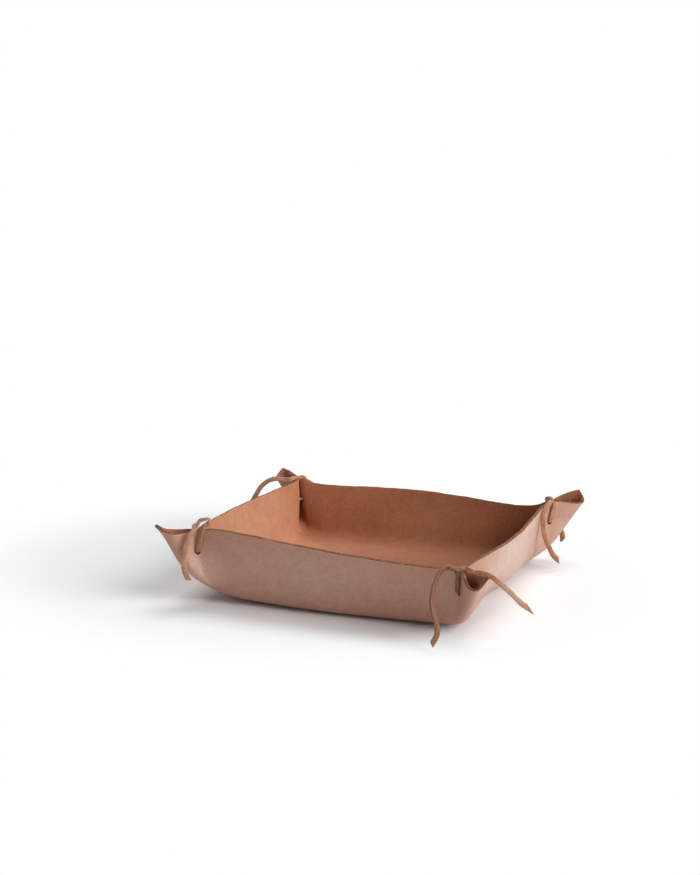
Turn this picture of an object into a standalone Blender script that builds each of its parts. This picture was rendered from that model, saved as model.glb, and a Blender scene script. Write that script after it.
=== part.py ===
"""Shallow tray folded from one square of leather and held by four tied laces.

The sheet lies flat in the base, is folded up all round, and is pinched outwards
at each corner into an open ear. A flat lace goes through a hole in each of the
two pinched walls, comes up their outer faces and is knotted over the rim.

Metres, +Z up. The origin is the middle of the underside. The front wall faces -Y.
"""

import math

import bmesh
import bpy
import numpy as np
from mathutils import Vector
from mathutils.bvhtree import BVHTree

MM = 0.001

# Driving sizes of the sheet
BASE_WIDTH = 166 * MM
WALL_HEIGHT = 38.5 * MM
LEATHER_THICKNESS = 2 * MM
FLOOR_INSET = 17 * MM
PINCH_GAP = 0.4 * MM
PINCH_LENGTH = 4 * MM

# Driving sizes of the laces and their holes
LACE_WIDTH = 3.2 * MM
LACE_THICKNESS = 1.9 * MM
LACE_CHAMFER = 0.35 * MM
LACE_BEND = 1.9 * MM
HOLE_DROP = 14 * MM
HOLE_CLEARANCE = 0.4 * MM
SEAT_GAP = 0.45 * MM
# The knot: half its length across the rim, the two strands' distance from its middle
# line, and the leather drawn narrow in it
KNOT_HALF = 5.2 * MM
KNOT_RADIUS = 1.45 * MM
KNOT_WIDTH = 1.9 * MM
KNOT_THICKNESS = 1.5 * MM

# Rings of the cage above the floor ring, as shares of the wall's height: fold, low, high, rim
RING_SHARES = (0.0, 0.36, 0.68, 1.0)

# Walls, from the corner they start at to the one they end at, going round anticlockwise.
# lean: how far the rim stands out from the base, height: how high it is, both as shares
# of the wall's height at the start, the middle and the end
WALL_SHARES = {
    "front": {"lean": (-0.03, 0.21, 0.28), "height": (1.33, 1.09, 1.03)},
    "right": {"lean": (0.19, 0.34, 0.07), "height": (1.18, 1.02, 1.00)},
    "back": {"lean": (0.31, 0.35, 0.15), "height": (0.69, 1.04, 0.83)},
    "left": {"lean": (0.22, 0.33, 0.26), "height": (0.93, 1.08, 1.15)},
}
BOW_SHARE = 0.01

# Corners, as shares of the wall's height along the corner's own axes: out along X, out
# along Y, up. tie: the pinched rim from the base corner. tip, rim_x and rim_y: the
# sheet's corner and the middle of the ear's two rims, from the tie
CORNER_SHARES = {
    "front_left": {
        "tie": (0.20, -0.10, 1.17),
        "tip": (0.59, 0.25, 0.06),
        "rim_x": (0.23, 0.40, 0.06),
        "rim_y": (0.50, 0.06, -0.21),
        "lift": 0.14,
        "round": -0.21,
        "keel": 0.09,
        "swell": -0.02,
        "sway": 0.02,
    },
    "front_right": {
        "tie": (0.08, 0.31, 1.07),
        "tip": (0.53, 0.37, 0.05),
        "rim_x": (0.27, 0.45, -0.18),
        "rim_y": (0.24, -0.04, -0.04),
        "lift": 0.08,
        "round": -0.08,
        "keel": 0.08,
        "swell": 0.00,
        "sway": -0.01,
    },
    "back_right": {
        "tie": (0.25, -0.02, 1.06),
        "tip": (0.34, 0.51, 0.11),
        "rim_x": (0.14, 0.36, 0.08),
        "rim_y": (0.58, 0.37, -0.13),
        "lift": 0.10,
        "round": 0.08,
        "keel": 0.24,
        "swell": 0.04,
        "sway": 0.03,
    },
    "back_left": {
        "tie": (0.14, 0.09, 1.03),
        "tip": (0.47, 0.44, 0.05),
        "rim_x": (0.34, 0.40, 0.04),
        "rim_y": (0.66, 0.26, -0.17),
        "lift": 0.01,
        "round": -0.01,
        "keel": 0.11,
        "swell": -0.01,
        "sway": 0.11,
    },
}
CORNER_SIGNS = {
    "front_left": (-1, -1),
    "front_right": (1, -1),
    "back_right": (1, 1),
    "back_left": (-1, 1),
}
# The walls along X and along Y that meet at a corner, and the end of each that does
CORNER_WALLS = {
    "front_left": (("front", 0), ("left", 2)),
    "front_right": (("front", 2), ("right", 0)),
    "back_right": (("back", 0), ("right", 2)),
    "back_left": (("back", 2), ("left", 0)),
}
# Each corner in turn with the wall that follows it, and whether its rays run from its
# wall along X to its wall along Y
ROUND_ORDER = (
    ("front_left", "front", False),
    ("front_right", "right", True),
    ("back_right", "back", False),
    ("back_left", "left", True),
)
# The axis that a wall faces along, and which way
WALL_FACING = {"front": (1, -1), "right": (0, 1), "back": (1, 1), "left": (0, -1)}

# An ear's rays, from the tie out to the tip. Every value is a share of the wall's height:
# floor_step: along the floor ring from its corner. fold_side and fold_out: across the
# corner and out of it at the base fold. low_side and high_side: swell at the two rings above
EAR_RAY_SHARES = {
    "tie_back": {"floor_step": 0.09, "fold_side": 0.24, "fold_out": -0.03, "low_side": 0.07, "high_side": 0.01},
    "tie_front": {"floor_step": 0.05, "fold_side": 0.16, "fold_out": 0.0, "low_side": 0.07, "high_side": 0.01},
    "rim": {"floor_step": 0.02, "fold_side": 0.08, "fold_out": 0.03, "low_side": 0.08, "high_side": 0.03},
    "tip": {"floor_step": 0.0, "fold_side": 0.0, "fold_out": 0.05, "low_side": 0.0, "high_side": 0.0},
}
# The wall's ray next to the corner: its steps along the floor ring and the rim from the
# corner, how much of the way to the wall's middle its lean has gone, and its belly
WALL_RAY_SHARES = {"floor_step": 0.28, "rim_step": 1.21, "to_middle": 0.2, "belly": 0.3, "lift": 0.56}
# How much of an ear's swell and sway is left at its high ring
HIGH_SWELL_SHARE = 0.7
# The smooth surface stays short of its cage, so the cage is drawn in past the gap
PINCH_PULL_SHARE = 0.17

# The half knot: its half turns, the points that carry a half turn, and which way each
# corner's strands wind round each other
KNOT_TURN_SHARES = {"half_turns": 3, "points": 4}
KNOT_WINDING = {"front_left": 1, "front_right": 1, "back_right": -1, "back_left": 1}

# How far out along the ear from the tie a lace runs on the wall along X (plus) and on the
# other wall (minus), as shares of the wall's height
LACE_LINE_SHARES = {
    "front_left": {"plus": 0.0, "minus": 0.055},
    "front_right": {"plus": 0.0, "minus": 0.025},
    "back_right": {"plus": 0.055, "minus": 0.0},
    "back_left": {"plus": 0.015, "minus": 0.015},
}

# The laces' free tails, as shares of the wall's height from the tie: out along the ear,
# across the pinch, up. plus leaves the knot on the side of the wall along X, minus on the
# other side. faces: where the flat of the tail looks at its start and at its end
TAIL_SHARES = {
    "front_left": {
        "plus": ((-0.10, 0.19, 0.17), (-0.19, 0.21, 0.20), (-0.25, 0.24, 0.15), (-0.20, 0.27, 0.07),
                 (-0.08, 0.27, 0.04), (0.05, 0.27, -0.01), (0.13, 0.28, -0.12), (0.18, 0.30, -0.27),
                 (0.19, 0.32, -0.42), (0.16, 0.36, -0.58), (0.08, 0.40, -0.74)),
        "plus_faces": ((0.05, 0.97, 0.22), (0.05, 0.97, 0.22)),
        "minus": ((0.00, -0.19, 0.07), (0.08, -0.27, 0.03), (0.12, -0.32, -0.10), (0.12, -0.36, -0.26),
                  (0.08, -0.38, -0.43), (0.02, -0.38, -0.60)),
        "minus_faces": ((0.92, -0.39, 0.00), (0.92, -0.39, 0.00)),
    },
    "front_right": {
        "plus": ((-0.05, 0.26, 0.10), (-0.05, 0.39, 0.03), (-0.01, 0.53, -0.11), (0.04, 0.62, -0.32),
                 (0.12, 0.67, -0.48), (0.20, 0.65, -0.61), (0.26, 0.67, -0.77), (0.30, 0.73, -0.93)),
        "plus_faces": ((0.57, -0.82, 0.00), (0.80, 0.56, 0.22)),
        "minus": ((0.06, -0.22, 0.05), (0.19, -0.24, -0.01), (0.32, -0.29, -0.04), (0.46, -0.39, -0.12),
                  (0.59, -0.48, -0.25), (0.71, -0.59, -0.39), (0.85, -0.73, -0.57)),
        "minus_faces": ((0.80, 0.56, 0.22), (0.80, 0.56, 0.22)),
    },
    "back_right": {
        "plus": ((0.04, 0.21, 0.07), (0.12, 0.28, 0.01), (0.21, 0.31, -0.15), (0.30, 0.30, -0.34),
                 (0.36, 0.25, -0.53), (0.39, 0.18, -0.71)),
        "plus_faces": ((0.55, 0.83, 0.00), (0.83, 0.55, 0.00)),
        "minus": ((-0.12, -0.20, 0.05), (-0.24, -0.20, -0.08), (-0.32, -0.22, -0.23), (-0.34, -0.26, -0.38),
                  (-0.34, -0.32, -0.58), (-0.31, -0.42, -0.79), (-0.22, -0.50, -0.90)),
        "minus_faces": ((-0.57, -0.79, 0.22), (-0.57, -0.79, 0.22)),
    },
    "back_left": {
        "plus": ((-0.01, 0.21, 0.05), (-0.01, 0.29, -0.03), (-0.02, 0.36, -0.14), (-0.05, 0.40, -0.28),
                 (-0.10, 0.40, -0.44), (-0.14, 0.38, -0.60)),
        "plus_faces": ((0.68, 0.73, 0.00), (0.68, 0.73, 0.00)),
        "minus": ((0.03, -0.21, 0.07), (0.06, -0.33, 0.06), (0.10, -0.46, 0.04), (0.13, -0.60, 0.00),
                  (0.17, -0.72, -0.09), (0.20, -0.81, -0.23), (0.24, -0.88, -0.36), (0.27, -0.92, -0.50)),
        "minus_faces": ((-0.87, -0.44, 0.22), (-0.87, -0.44, 0.22)),
    },
}

HALF_BASE = BASE_WIDTH / 2
HALF_FLOOR = HALF_BASE - FLOOR_INSET
HALF_SHEET = HALF_BASE + WALL_HEIGHT
HALF_PINCH = (2 * LEATHER_THICKNESS + PINCH_GAP) / 2
CAGE_PINCH = HALF_PINCH * (1 - PINCH_PULL_SHARE)
HOLE_DIAMETER = math.hypot(LACE_WIDTH, LACE_THICKNESS) + 2 * HOLE_CLEARANCE
HOLE_REACH = 2 * HALF_PINCH + LACE_THICKNESS / 2
HOLE_MOUTH = HALF_PINCH + LACE_THICKNESS
PROBE_REACH = 10 * HALF_PINCH
KNOT_RISE = KNOT_RADIUS + KNOT_THICKNESS / 2 + SEAT_GAP
# Steps along a lace: where it bends tightly and where it hangs free, how much of the lace
# counts as near when its gap to itself is measured, and the facets round a hole
TIGHT_STEP = 1.25 * MM
FREE_STEP = 2.8 * MM
NEAR_LENGTH = 7 * MM
HOLE_FACETS = 16
SLIVER = 0.03 * MM
SPAN_STEPS = 12


def clear_scene():
    for obj in list(bpy.data.objects):
        bpy.data.objects.remove(obj, do_unlink=True)


def new_collection(name):
    collection = bpy.data.collections.new(name)
    bpy.context.scene.collection.children.link(collection)
    return collection


def new_material(name, colour, roughness):
    material = bpy.data.materials.new(name)
    material.use_nodes = True
    shader = material.node_tree.nodes["Principled BSDF"]
    shader.inputs["Base Color"].default_value = (*colour, 1)
    shader.inputs["Roughness"].default_value = roughness
    shader.inputs["Metallic"].default_value = 0
    return material


def add_mesh_object(name, mesh, collection, material):
    obj = bpy.data.objects.new(name, mesh)
    obj.data.materials.append(material)
    collection.objects.link(obj)
    return obj


def corner_frame(name):
    """The corner's tie and its directions: out along the ear, across the pinch, in its own axes."""
    shares = CORNER_SHARES[name]
    base_corner = np.array([HALF_BASE, HALF_BASE, 0])
    tie = base_corner + WALL_HEIGHT * np.array(shares["tie"])
    ear = np.array([*shares["tip"][:2], 0])
    ear = ear / np.linalg.norm(ear)
    across = np.array([-ear[1], ear[0], 0])
    return base_corner, tie, ear, across


def wall_ray(name, along_x):
    """The cage points of the wall next to a corner, from the floor ring to the rim."""
    shares = CORNER_SHARES[name]
    wall, end = CORNER_WALLS[name][0 if along_x else 1]
    lean, height = WALL_SHARES[wall]["lean"], WALL_SHARES[wall]["height"]
    to_middle = WALL_RAY_SHARES["to_middle"]
    rim_lean = WALL_HEIGHT * (lean[end] + (lean[1] - lean[end]) * to_middle)
    rim_height = WALL_HEIGHT * (height[end] + (height[1] - height[end]) * to_middle)
    lift = WALL_HEIGHT * shares["lift"] * WALL_RAY_SHARES["lift"]
    floor_along = HALF_FLOOR - WALL_HEIGHT * WALL_RAY_SHARES["floor_step"]
    rim_along = HALF_SHEET - WALL_HEIGHT * WALL_RAY_SHARES["rim_step"]
    belly = WALL_HEIGHT * BOW_SHARE * WALL_RAY_SHARES["belly"]
    points = [(floor_along, HALF_FLOOR, 0)]
    for ring in RING_SHARES:
        risen = (FLOOR_INSET + WALL_HEIGHT * ring) / (FLOOR_INSET + WALL_HEIGHT)
        along = floor_along + (rim_along - floor_along) * risen
        points.append((along, HALF_BASE + rim_lean * ring + belly, lift * (1 - ring) + rim_height * ring))
    points = np.array(points)
    return points if along_x else points[:, [1, 0, 2]]


def ear_ray(name, kind, side):
    """The cage points of one of an ear's rays. side is 1 on the wall along X, -1 on the other, 0 at the fold."""
    shares = CORNER_SHARES[name]
    ray = EAR_RAY_SHARES[kind]
    base_corner, tie, ear, across = corner_frame(name)
    bisector = np.array([-1, 1, 0]) / math.sqrt(2)
    outward = np.array([1, 1, 0]) / math.sqrt(2)
    mixed = (bisector + across) / np.linalg.norm(bisector + across)
    half_length = PINCH_LENGTH / 2
    rims = {
        "tie_back": tie + across * side * CAGE_PINCH - ear * half_length,
        "tie_front": tie + across * side * CAGE_PINCH + ear * half_length,
        "rim": tie + WALL_HEIGHT * np.array(shares["rim_x" if side > 0 else "rim_y"]),
        "tip": tie + WALL_HEIGHT * np.array(shares["tip"]),
    }
    rim = rims[kind]
    keel = WALL_HEIGHT * shares["keel"] if kind == "tip" else 0
    foot = base_corner + np.array([0, 0, WALL_HEIGHT * shares["lift"]])
    step = WALL_HEIGHT * ray["floor_step"]
    floor = [HALF_FLOOR - (step if side > 0 else 0), HALF_FLOOR - (step if side < 0 else 0), 0]
    fold = foot + bisector * side * WALL_HEIGHT * ray["fold_side"]
    fold = fold + outward * WALL_HEIGHT * (ray["fold_out"] + shares["round"])
    low = foot + (rim - foot) * RING_SHARES[1]
    low = low + mixed * side * WALL_HEIGHT * ray["low_side"] + outward * keel
    high = foot + (rim - foot) * RING_SHARES[2]
    high = high + across * side * WALL_HEIGHT * ray["high_side"] + outward * keel / 2
    if kind.startswith("tie"):
        low = low + across * side * CAGE_PINCH * (1 - RING_SHARES[1])
        high = high + across * side * CAGE_PINCH * (1 - RING_SHARES[2])
    else:
        swell = across * WALL_HEIGHT * (side * shares["swell"] + shares["sway"])
        low = low + swell
        high = high + swell * HIGH_SWELL_SHARE
    return np.array([floor, fold, low, high, rim])


def corner_rays(name):
    """A corner's rays from its wall along X, round the ear, to its wall along Y."""
    kinds = ("tie_back", "tie_front", "rim")
    first = [ear_ray(name, kind, 1) for kind in kinds]
    second = [ear_ray(name, kind, -1) for kind in reversed(kinds)]
    rays = [wall_ray(name, True), *first, ear_ray(name, "tip", 0), *second, wall_ray(name, False)]
    signs = np.array([*CORNER_SIGNS[name], 1])
    return [ray * signs for ray in rays]


def middle_ray(wall):
    """The cage points of the middle of a wall."""
    axis, sign = WALL_FACING[wall]
    lean, height = WALL_SHARES[wall]["lean"][1], WALL_SHARES[wall]["height"][1]
    points = np.zeros((len(RING_SHARES) + 1, 3))
    points[0, axis] = sign * HALF_FLOOR
    for row, ring in enumerate(RING_SHARES, start=1):
        points[row, axis] = sign * (HALF_BASE + WALL_HEIGHT * (lean * ring + BOW_SHARE))
        points[row, 2] = WALL_HEIGHT * height * ring
    return points


def sheet_cage():
    """All rays going round anticlockwise, and the numbers of the rays at the sheet's corners."""
    rays = []
    tips = []
    for name, wall, forward in ROUND_ORDER:
        corner = corner_rays(name)
        tips.append(len(rays) + len(corner) // 2)
        rays += corner if forward else corner[::-1]
        rays.append(middle_ray(wall))
    return np.array(rays), tips


def build_sheet(collection, material):
    """The outer, grain face as a coarse cage, made smooth, then given its thickness inwards."""
    rays, tips = sheet_cage()
    count, rows = rays.shape[:2]
    mesh = bpy.data.meshes.new("tray_sheet")
    bm = bmesh.new()
    crease = bm.verts.layers.float.new("crease_vert")
    fold = bm.edges.layers.float.new("crease_edge")
    verts = [[bm.verts.new(point) for point in ray] for ray in rays]
    for i in range(count):
        here, ahead = verts[i], verts[(i + 1) % count]
        for row in range(rows - 1):
            bm.faces.new((here[row], ahead[row], ahead[row + 1], here[row + 1]))
    floor = bm.faces.new([ray[0] for ray in reversed(verts)])
    for tip in tips:
        verts[tip][-1][crease] = 1
    for edge in floor.edges:
        edge[fold] = 1
    bm.to_mesh(mesh)
    bm.free()
    mesh.shade_smooth()
    sheet = add_mesh_object("tray_sheet", mesh, collection, material)
    smooth = sheet.modifiers.new("smooth", "SUBSURF")
    smooth.levels = 2
    smooth.render_levels = 2
    shell = sheet.modifiers.new("thickness", "SOLIDIFY")
    shell.thickness = LEATHER_THICKNESS
    shell.offset = -1
    return sheet


def cut_holes(sheet, collection):
    """One straight punch through both pinched walls at each corner, cut in flat triangles."""
    flat = sheet.modifiers.new("flat faces", "TRIANGULATE")
    flat.quad_method = "BEAUTY"
    for name in CORNER_SIGNS:
        plus, minus = hole_mouths(name)
        point, axis = (plus + minus) / 2, plus - minus
        bpy.ops.mesh.primitive_cylinder_add(
            vertices=HOLE_FACETS, radius=HOLE_DIAMETER / 2, depth=2 * HOLE_REACH, location=point,
            rotation=Vector(axis).to_track_quat("Z", "Y").to_euler(),
        )
        punch = bpy.context.active_object
        punch.name = "punch_" + name
        for holder in list(punch.users_collection):
            holder.objects.unlink(punch)
        collection.objects.link(punch)
        punch.hide_render = True
        punch.display_type = "WIRE"
        cut = sheet.modifiers.new("hole_" + name, "BOOLEAN")
        cut.object = punch
        cut.operation = "DIFFERENCE"
        cut.solver = "EXACT"
    tidy = sheet.modifiers.new("tidy", "WELD")
    tidy.merge_threshold = SLIVER


def tie_axes(name):
    """Out along the ear, across the pinch towards the wall along X, and up, in the world."""
    ear, across = corner_frame(name)[2:]
    signs = np.array([*CORNER_SIGNS[name], 1])
    return ear * signs, across * signs, np.array([0, 0, 1])


def tie_point(name, drop):
    """The point of the pinch that lies this far below the tied rim, in the world."""
    base_corner, tie = corner_frame(name)[:2]
    foot = base_corner + np.array([0, 0, WALL_HEIGHT * CORNER_SHARES[name]["lift"]])
    fall = (foot - tie) / (tie - foot)[2]
    return (tie + fall * drop) * np.array([*CORNER_SIGNS[name], 1])


def lace_line(name, side, drop):
    """The point between the pinched walls that a lace on this side runs over, this far down."""
    out = LACE_LINE_SHARES[name]["plus" if side > 0 else "minus"]
    return tie_point(name, drop) + tie_axes(name)[0] * WALL_HEIGHT * out


def hole_mouths(name):
    """Where a lace turns into and out of the straight line through a corner's two holes."""
    across = tie_axes(name)[1]
    return [lace_line(name, side, HOLE_DROP) + across * side * HOLE_MOUTH for side in (1, -1)]


def face_tree(sheet):
    """The sheet's faces as they are with every modifier but the holes."""
    for cut in sheet.modifiers:
        cut.show_viewport = cut.type != "BOOLEAN"
    graph = bpy.context.evaluated_depsgraph_get()
    tree = BVHTree.FromObject(sheet, graph)
    for cut in sheet.modifiers:
        cut.show_viewport = True
    return tree


def rim_top(name, tree):
    """How high the two pinched walls stand at the tie."""
    ear, across, up = tie_axes(name)
    tops = []
    for side in (-1, 1):
        start = tie_point(name, 0) + across * side * HALF_PINCH / 2 + up * PROBE_REACH
        tops.append(tree.ray_cast(Vector(start), Vector(-up))[0].z)
    return max(tops)


def strand_seat(name, side, drop, tree):
    """The middle of a lace lying on a wall's outer face this far below the tie, and its flat's direction.

    The wall is felt under both edges of the lace and under its middle, and the lace lies
    along the line between its edges, clear of the highest of the three.
    """
    ear, across = tie_axes(name)[:2]
    across = across * side
    hits = []
    for edge in (-1, 0, 1):
        start = lace_line(name, side, drop) + across * PROBE_REACH + ear * edge * LACE_WIDTH / 2
        hits.append(np.array(tree.ray_cast(Vector(start), Vector(-across))[0]))
    chord = (hits[2] - hits[0]) / np.linalg.norm(hits[2] - hits[0])
    face = across - (across @ chord) * chord
    face /= np.linalg.norm(face)
    rise = max(hit @ face for hit in hits) - hits[1] @ face
    return hits[1] + face * (rise + LACE_THICKNESS / 2 + SEAT_GAP), face


def half_knot(name, side, top):
    """One strand's way through the knot, from its own side at the bottom to the other at the top."""
    ear, across, up = tie_axes(name)
    middle = tie_point(name, 0) * np.array([1, 1, 0]) + up * (top + KNOT_RISE)
    count = KNOT_TURN_SHARES["half_turns"] * KNOT_TURN_SHARES["points"]
    points, faces = [], []
    for i in range(1, count + 1):
        angle = math.pi * (KNOT_TURN_SHARES["half_turns"] * i / count - 1 / 2)
        out = ear * math.cos(angle) * KNOT_WINDING[name] * -side + up * math.sin(angle)
        points.append(middle + across * side * KNOT_HALF * (1 - 2 * i / count) + out * KNOT_RADIUS)
        faces.append(-out)
    return points, faces


def side_run(name, side, tree, top):
    """A lace from the middle of its holes up one wall and through the knot."""
    up = tie_axes(name)[2]
    plus, minus = hole_mouths(name)
    hole = (plus + minus) / 2
    outward = (plus - minus) * side / np.linalg.norm(plus - minus)
    reach = (strand_seat(name, side, HOLE_DROP - LACE_BEND, tree)[0] - hole) @ outward
    points, faces = [hole], [-up]
    for turn in (0, math.pi / 4):
        out = reach - LACE_BEND + LACE_BEND * math.sin(turn)
        points.append(hole + outward * out + up * LACE_BEND * (1 - math.cos(turn)))
        faces.append(outward * math.sin(turn) - up * math.cos(turn))
    steps = int((HOLE_DROP - LACE_BEND) / FREE_STEP)
    for i in range(steps + 1):
        seat, face = strand_seat(name, side, (HOLE_DROP - LACE_BEND) * (1 - i / (steps + 1)), tree)
        points.append(seat)
        faces.append(face)
    knot_points, knot_faces = half_knot(name, side, top)
    return points + knot_points, faces + knot_faces, len(points)


def tail_run(name, side):
    """A lace's free tail on one side, from the knot to its end."""
    axes = np.array(tie_axes(name))
    shares = TAIL_SHARES[name]
    key = "plus" if side > 0 else "minus"
    first, last = (np.array(face) @ axes for face in shares[key + "_faces"])
    rows = np.array(shares[key])
    points = tie_point(name, 0) + WALL_HEIGHT * rows @ axes
    faces = [first + (last - first) * i / (len(rows) - 1) for i in range(len(rows))]
    return list(points), faces


def smooth_line(points, per_span):
    """A smooth line through all the points, with this many steps from each to the next."""
    padded = np.vstack([2 * points[0] - points[1], points, 2 * points[-1] - points[-2]])
    before, here, ahead, beyond = padded[:-3], padded[1:-2], padded[2:-1], padded[3:]
    rows = []
    for i in range(per_span):
        t = i / per_span
        rows.append((2 * here + (ahead - before) * t + (2 * before - 5 * here + 4 * ahead - beyond) * t ** 2
                     + (3 * here - 3 * ahead + beyond - before) * t ** 3) / 2)
    line = np.array(rows).transpose(1, 0, 2).reshape(-1, points.shape[1])
    return np.vstack([line, points[-1]])


def face_one_way(faces):
    """Turn every direction that looks against the one before it round, in place."""
    for i in range(1, len(faces)):
        if faces[i] @ faces[i - 1] < 0:
            faces[i] *= -1


def lace_rows(name, tree):
    """The lace as rows: middle, flat side's direction, half width and half thickness."""
    top = rim_top(name, tree)
    halves = []
    for side in (-1, 1):
        run, run_faces, knot_start = side_run(name, side, tree, top)
        tail, tail_faces = tail_run(name, -side)
        drawn = [0] * (knot_start - 1) + [1] * (len(run) - knot_start + 1) + [0] * len(tail)
        halves.append(np.column_stack([np.array(run + tail), np.array(run_faces + tail_faces), drawn]))
    controls = np.vstack([halves[0][::-1], halves[1][1:]])
    face_one_way(controls[:, 3:6])
    fine = smooth_line(controls, SPAN_STEPS)
    length = np.concatenate([[0], np.cumsum(np.linalg.norm(np.diff(fine[:, :3], axis=0), axis=1))])
    knot_start = len(TAIL_SHARES[name]["plus"]) * SPAN_STEPS
    knot_end = len(fine) - 1 - len(TAIL_SHARES[name]["minus"]) * SPAN_STEPS
    marks = [0, length[knot_start], length[knot_end], length[-1]]
    steps = (FREE_STEP, TIGHT_STEP, FREE_STEP)
    stops = []
    for start, end, step in zip(marks[:-1], marks[1:], steps):
        count = math.ceil((end - start) / step)
        stops += [start + (end - start) * i / count for i in range(count)]
    stops.append(length[-1])
    return np.column_stack([np.interp(stops, length, column) for column in fine.T])


def lace_rings(rows):
    """The lace's flat section, its edges chamfered, standing square on every row."""
    ahead = np.gradient(rows[:, :3], axis=0)
    ahead /= np.linalg.norm(ahead, axis=1)[:, None]
    flat = rows[:, 3:6] - (rows[:, 3:6] * ahead).sum(axis=1)[:, None] * ahead
    flat /= np.linalg.norm(flat, axis=1)[:, None]
    face_one_way(flat)
    wide = np.cross(ahead, flat)
    drawn = rows[:, 6]
    half_width = (LACE_WIDTH + (KNOT_WIDTH - LACE_WIDTH) * drawn) / 2
    half_depth = (LACE_THICKNESS + (KNOT_THICKNESS - LACE_THICKNESS) * drawn) / 2
    corners = ((1, 1), (-1, 1), (-1, -1), (1, -1))
    ring = []
    for i, (side, face) in enumerate(corners):
        inset = ((LACE_CHAMFER, 0), (0, LACE_CHAMFER)) if i % 2 else ((0, LACE_CHAMFER), (LACE_CHAMFER, 0))
        for along_width, along_depth in inset:
            across = wide * (side * (half_width - along_width))[:, None]
            ring.append(rows[:, :3] + across + flat * (face * (half_depth - along_depth))[:, None])
    return np.array(ring).transpose(1, 0, 2)


def report_gap(name, rings, rows):
    """Print the least gap between parts of a lace that lie apart along it, from surface points."""
    between = (rings[:-1] + rings[1:]) / 2
    dense = np.concatenate([rings[:-1], between], axis=1).reshape(len(between), -1, 3)
    sides = (dense + np.roll(dense, 1, axis=1)) / 2
    cloud = np.concatenate([dense, sides], axis=1)
    length = np.concatenate([[0], np.cumsum(np.linalg.norm(np.diff(rows[:, :3], axis=0), axis=1))])
    least = math.inf
    for i in range(len(cloud)):
        apart = cloud[length[:-1] > length[i] + NEAR_LENGTH].reshape(-1, 3)
        for point in cloud[i] if len(apart) else []:
            least = min(least, np.linalg.norm(apart - point, axis=1).min())
    print(f"{name}: {length[-1] / MM:.1f} mm long, least gap to itself {least / MM:.2f} mm")


def build_lace(name, tree, collection, material):
    """One unbroken strip: tail, knot, one wall, both holes, the other wall, knot, tail."""
    rows = lace_rows(name, tree)
    rings = lace_rings(rows)
    report_gap("lace_" + name, rings, rows)
    mesh = bpy.data.meshes.new("lace_" + name)
    bm = bmesh.new()
    verts = [[bm.verts.new(point) for point in ring] for ring in rings]
    for here, ahead in zip(verts[:-1], verts[1:]):
        for i in range(len(here)):
            bm.faces.new((here[i - 1], here[i], ahead[i], ahead[i - 1]))
    bm.faces.new(verts[0][::-1])
    bm.faces.new(verts[-1])
    if bm.calc_volume(signed=True) < 0:
        bmesh.ops.reverse_faces(bm, faces=bm.faces[:])
    bm.to_mesh(mesh)
    bm.free()
    mesh.shade_smooth()
    return add_mesh_object("lace_" + name, mesh, collection, material)


def main():
    clear_scene()
    tray = new_collection("leather_tray")
    punches = new_collection("punches")
    leather = new_material("tray_leather", (0.50, 0.30, 0.19), 0.62)
    sheet = build_sheet(tray, leather)
    cut_holes(sheet, punches)
    tree = face_tree(sheet)
    for name in CORNER_SIGNS:
        lace_leather = new_material("lace_leather_" + name, (0.40, 0.21, 0.12), 0.58)
        build_lace(name, tree, tray, lace_leather)


main()
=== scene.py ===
"""Finish of the leather tray with laced corners.

The tray is one sheet of hide with a grain face outside, a flesh face inside and a raw
cut edge, folded up and pinched at its corners. Four flat laces hold the corners, each
knotted on the rim with two loose tails. Every length is in metres.
"""

import math

import bpy
import numpy as np
from mathutils import Matrix, Vector
from mathutils.bvhtree import BVHTree


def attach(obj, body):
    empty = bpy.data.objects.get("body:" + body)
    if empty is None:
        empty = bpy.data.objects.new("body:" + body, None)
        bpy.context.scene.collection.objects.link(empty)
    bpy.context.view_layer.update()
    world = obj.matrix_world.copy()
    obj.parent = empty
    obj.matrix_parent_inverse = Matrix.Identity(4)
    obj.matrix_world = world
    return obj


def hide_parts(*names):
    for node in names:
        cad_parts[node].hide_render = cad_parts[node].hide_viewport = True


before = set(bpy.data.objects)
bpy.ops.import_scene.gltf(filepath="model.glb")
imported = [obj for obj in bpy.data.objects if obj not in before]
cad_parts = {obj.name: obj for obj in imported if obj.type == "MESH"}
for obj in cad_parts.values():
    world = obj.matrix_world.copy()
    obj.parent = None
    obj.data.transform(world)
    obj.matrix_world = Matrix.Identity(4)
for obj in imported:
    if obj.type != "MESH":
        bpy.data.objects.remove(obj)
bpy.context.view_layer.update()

MM = 0.001
CORNERS = ("front_left", "front_right", "back_right", "back_left")


def by_corner(*values):
    """These values by corner, going round from the front left."""
    return dict(zip(CORNERS, values))


# ---- sizes: the solids' own, with holes, gaps, knots, rims and tails nudged to the photo ----
BASE_WIDTH = 166 * MM
WALL_HEIGHT = 38.5 * MM
LEATHER_THICKNESS = 2 * MM
FLOOR_INSET = 17 * MM
PINCH_GAP = 0.4 * MM
PINCH_LENGTH = 4 * MM
LACE_WIDTH = 3.2 * MM
LACE_THICKNESS = 1.9 * MM
LACE_BEND = 1.9 * MM
HOLE_DROPS = by_corner(12.4 * MM, 14 * MM, 14 * MM, 14 * MM)
HOLE_CLEARANCE = -0.15 * MM
SEAT_GAP = 0.15 * MM
KNOT_RADIUS = 1.0 * MM
KNOT_WIDTH = 2.7 * MM
KNOT_THICKNESS = 1.6 * MM

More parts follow.
